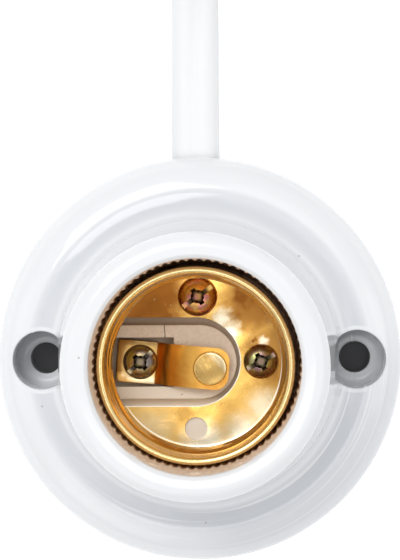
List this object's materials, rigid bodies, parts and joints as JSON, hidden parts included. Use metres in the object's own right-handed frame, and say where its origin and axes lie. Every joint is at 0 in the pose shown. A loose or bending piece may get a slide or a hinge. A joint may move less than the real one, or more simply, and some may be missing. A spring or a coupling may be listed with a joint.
{
  "type": "lamp holder",
  "caption": "White glazed porcelain screw lamp holder with round foot, brass thread shell, sprung centre contact and a flat white lead with plug",
  "frame": {"origin": "centre of the foot, on the flat face that stands on the mounting surface", "axes": "+Z out of the mouth along the axis, +Y towards the cord, X through the fixing holes"},
  "size_m": [0.1277, 0.1805, 0.042],
  "materials": {
    "porcelain_glaze": "gloss",
    "shell_brass": "polished",
    "contact_brass": "satin",
    "button_brass": "satin",
    "screw_zinc_yellow": "satin",
    "screw_zinc_grey": "satin",
    "plate_steel": "satin",
    "copper_wire": "satin",
    "core_brown": "satin",
    "core_blue": "satin",
    "cord_white": "satin",
    "plug_white": "satin",
    "pin_plating": "polished"
  },
  "bodies": {
    "holder": {"ceramic_body": "porcelain_glaze", "screw_shell": "shell_brass", "live_terminal": "shell_brass", "neutral_terminal": "shell_brass", "contact_tongue": "contact_brass", "shell_screw_top": "screw_zinc_yellow", "shell_screw_side": "screw_zinc_grey", "contact_screw": "screw_zinc_grey", "live_wire_screw": "screw_zinc_grey", "neutral_wire_screw": "screw_zinc_grey", "contact_clamp_plate": "plate_steel", "live_wire_washer": "plate_steel", "neutral_wire_washer": "plate_steel", "live_conductor": "copper_wire", "neutral_conductor": "copper_wire", "live_core": "core_brown", "neutral_core": "core_blue", "cord_sheath": "cord_white", "cord_coil": "cord_white", "cord_tail": "cord_white", "plug_body": "plug_white", "plug_pin_live": "pin_plating", "plug_pin_neutral": "pin_plating"},
    "contact": {"contact_button": "button_brass"}
  },
  "joints": [
    {"name": "contact_press", "type": "hinge", "parent": "holder", "child": "contact", "pos_m": [-0.00402, -0.0004, 0.0219], "axis": [0.0872, 0.9962, 0], "range_deg": [0, 8], "stiffness_Nm_per_rad": 0.15, "deforming": ["contact_tongue"]}
  ]
}
